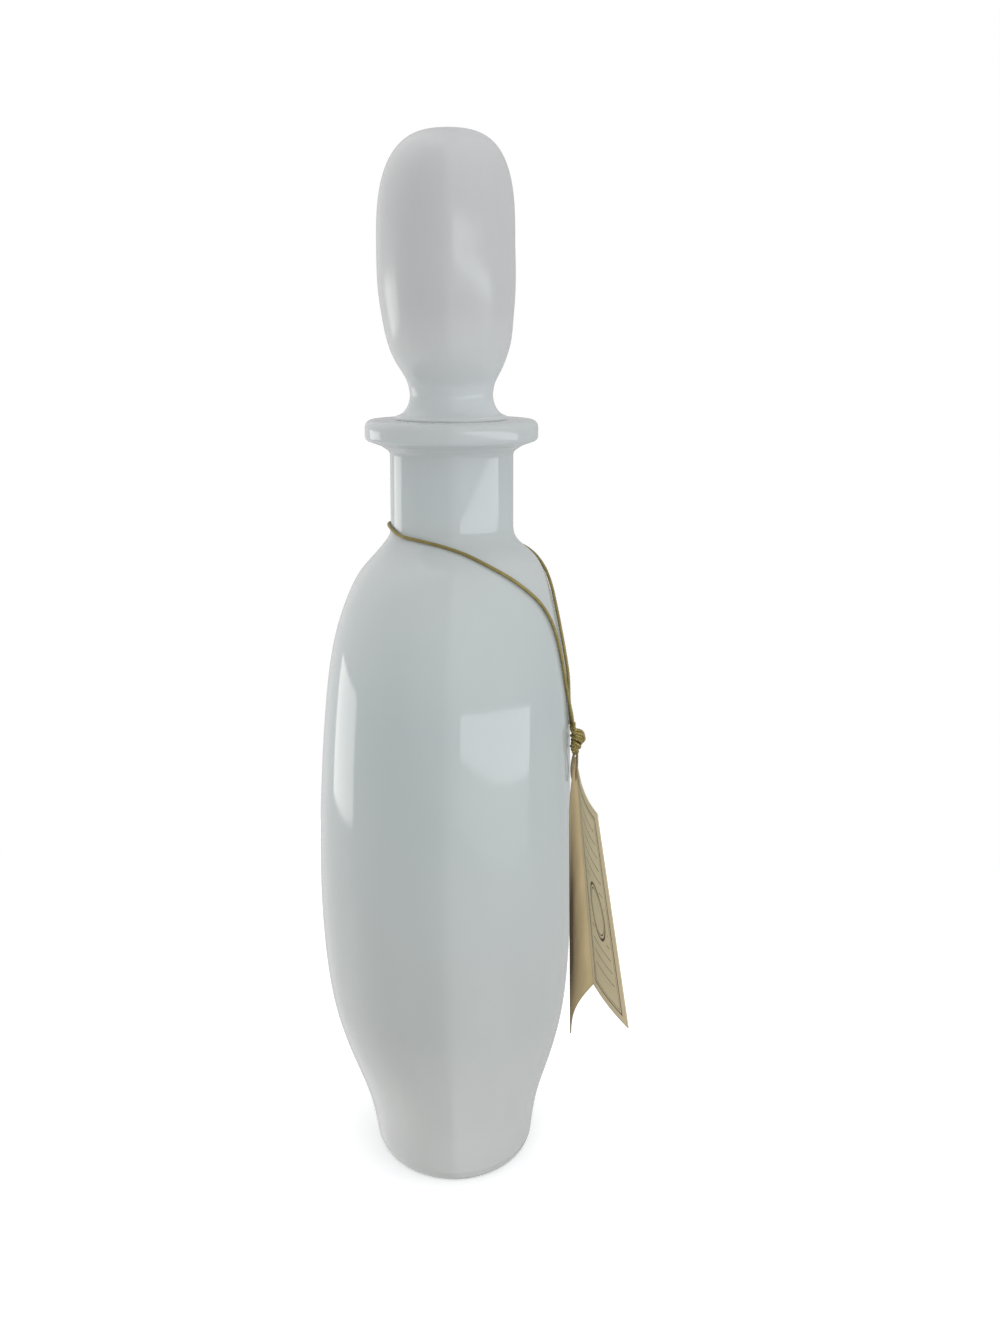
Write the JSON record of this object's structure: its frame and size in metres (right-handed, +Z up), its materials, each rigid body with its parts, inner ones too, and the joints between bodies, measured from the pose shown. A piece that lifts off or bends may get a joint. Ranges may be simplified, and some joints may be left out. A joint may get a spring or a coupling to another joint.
{
  "type": "liquor decanter",
  "caption": "Flattened opal glass decanter with a ground lip, a glass stopper on a ribbed plastic seal, and a folded card hang tag on a knotted neck cord.",
  "frame": {"origin": "on the surface the decanter stands on, under the middle of the belly", "axes": "+Z up; +X out of the flatter front, towards the tag; +Y along the broad way through the bottle"},
  "size_m": [0.0924, 0.1056, 0.2999],
  "materials": {
    "opal_glass": "polished opaque opal glass",
    "opal_glass_stopper": "polished opaque opal glass, slightly warmer",
    "seal_plastic": "natural polyethylene",
    "gold_cord": "twisted gold thread",
    "tag_card": null
  },
  "bodies": {
    "decanter": {"decanter": "opal_glass", "neck_cord": "gold_cord", "cord_knot": "gold_cord"},
    "seal": {"stopper_seal": "seal_plastic"},
    "stopper": {"stopper": "opal_glass_stopper"},
    "tag": {"tag_thread": "gold_cord", "tag_back_leaf": "tag_card"},
    "tag_flap": {"tag_front_leaf": "tag_card"}
  },
  "joints": [
    {"name": "stopper_lift", "type": "slide", "parent": "decanter", "child": "seal", "axis": [0, 0, 1], "range_m": [0, 0.06]},
    {"name": "stopper_turn", "type": "hinge", "parent": "seal", "child": "stopper", "pos_m": [0.0022, 0, 0.21], "axis": [0, 0, 1], "continuous": true},
    {"name": "tag_swing", "type": "hinge", "parent": "decanter", "child": "tag", "pos_m": [0.038, -0.0095, 0.1207], "axis": [0, -1, 0], "range_deg": [0, 70]},
    {"name": "tag_open", "type": "hinge", "parent": "tag", "child": "tag_flap", "pos_m": [0.0389, -0.006, 0.1142], "axis": [-0.0924, -0.1959, 0.9763], "range_deg": [-3, 120], "stiffness_Nm_per_rad": 0.001}
  ]
}
